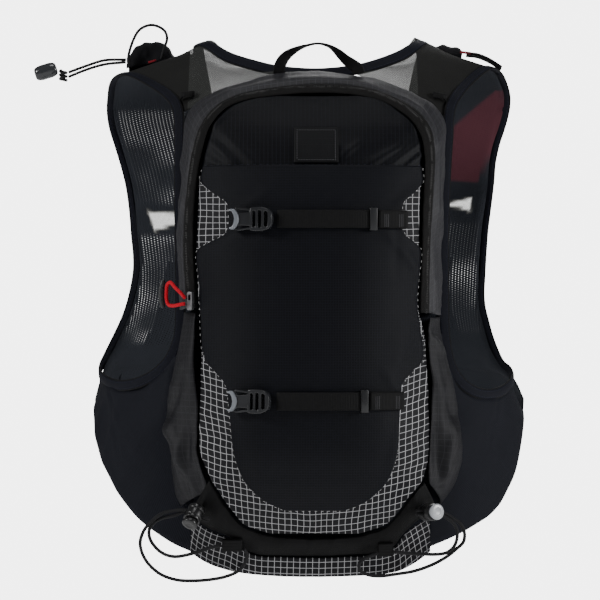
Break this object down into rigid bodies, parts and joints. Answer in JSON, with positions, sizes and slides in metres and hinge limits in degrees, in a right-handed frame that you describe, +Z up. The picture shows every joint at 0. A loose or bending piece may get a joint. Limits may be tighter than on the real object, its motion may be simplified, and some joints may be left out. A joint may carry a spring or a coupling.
{
  "type": "running_hydration_vest",
  "caption": "Running hydration vest seen worn, with an arched zip pack, a stretch pocket with two buckled straps, side wings and cord locks at the hem",
  "frame": {"origin": "where the shoulders carry the vest: on the ridge line, midway between the shoulders", "axes": "+Z is up as worn, the pack faces -Y, the front is toward +Y, and +X is the wearer's right"},
  "size_m": [0.4194, 0.3036, 0.4663],
  "materials": {
    "binding_elastic": "flat elastic binding, fine rib, dark navy",
    "sheer_mesh": "semi-sheer open warp knit, matt",
    "knit_mesh": "dark open-hole knit mesh, matt",
    "ripstop": "charcoal ripstop, crisp folds",
    "grid_ripstop": "near-black ripstop with a pale grid of fine lines",
    "pinstripe_ripstop": "black ripstop with fine vertical pinstripes",
    "stretch_weave": "near-black navy stretch weave, fine grid",
    "wing_stretch": "dark navy stretch cloth with fine diagonal ribs",
    "webbing": "flat woven webbing and tape, black",
    "zip_tape": "dark coil zip tape",
    "patch_cloth": "plain stitched square",
    "buckle_plastic": "satin moulded plastic, grey-black",
    "lock_plastic": "black moulded plastic",
    "button_plastic": "mid-grey glossy plastic",
    "bead_plastic": "grey glossy plastic",
    "slider_metal": "grey cast slider",
    "black_cord": "black elastic cord",
    "red_cord": "thin red cord"
  },
  "bodies": {
    "vest": {"armhole_binding_left": "binding_elastic", "armhole_binding_right": "binding_elastic", "collar_binding": "binding_elastic", "yoke_left": "sheer_mesh", "yoke_right": "sheer_mesh", "back_panel": "knit_mesh", "front_panel_left": "knit_mesh", "front_panel_right": "knit_mesh", "pack_gusset": "ripstop", "side_pocket_left": "ripstop", "side_pocket_right": "ripstop", "hem_casing": "ripstop", "shoulder_piece_right": "ripstop", "pack_front": "grid_ripstop", "hem_grid": "grid_ripstop", "top_panel": "pinstripe_ripstop", "stretch_pocket": "stretch_weave", "side_wing_left": "wing_stretch", "side_wing_right": "wing_stretch", "chest_pocket_left": "wing_stretch", "chest_pocket_right": "wing_stretch", "front_pocket_left": "wing_stretch", "front_pocket_right": "wing_stretch", "strap_upper": "webbing", "strap_lower": "webbing", "strap_end_upper": "webbing", "strap_end_lower": "webbing", "strap_stub_upper": "webbing", "strap_stub_lower": "webbing", "keeper_upper": "webbing", "keeper_lower": "webbing", "haul_loop": "webbing", "gear_loop_left": "webbing", "gear_loop_right": "webbing", "cord_tab_left": "webbing", "cord_tab_right": "webbing", "sternum_strap_upper": "webbing", "sternum_strap_lower": "webbing", "zip_track": "zip_tape", "front_patch": "patch_cloth", "buckle_plug_upper": "buckle_plastic", "buckle_plug_lower": "buckle_plastic", "buckle_socket_upper": "buckle_plastic", "buckle_socket_lower": "buckle_plastic", "cord_lock_barrel_left": "lock_plastic", "cord_lock_barrel_right": "lock_plastic", "toggle_bead": "bead_plastic", "pull_grip": "bead_plastic", "zip_slider": "slider_metal", "shock_cord_left_outer": "black_cord", "shock_cord_left_inner": "black_cord", "shock_cord_right_outer": "black_cord", "shock_cord_right_inner": "black_cord", "toggle_cord_upper": "black_cord", "toggle_cord_lower": "black_cord", "toggle_knot": "black_cord", "shoulder_loop": "black_cord", "pull_cord": "red_cord"},
    "plunger_left": {"cord_lock_plunger_left": "button_plastic"},
    "plunger_right": {"cord_lock_plunger_right": "button_plastic"}
  },
  "joints": [
    {"name": "cord_lock_left_press", "type": "slide", "parent": "vest", "child": "plunger_left", "axis": [0.3498, 0.5997, 0.7197], "range_m": [0, 0.0025], "stiffness_N_per_m": 300, "springref_m": -0.004},
    {"name": "cord_lock_right_press", "type": "slide", "parent": "vest", "child": "plunger_right", "axis": [-0.5496, 0.8294, -0.0999], "range_m": [0, 0.0025], "stiffness_N_per_m": 300, "springref_m": -0.004}
  ]
}
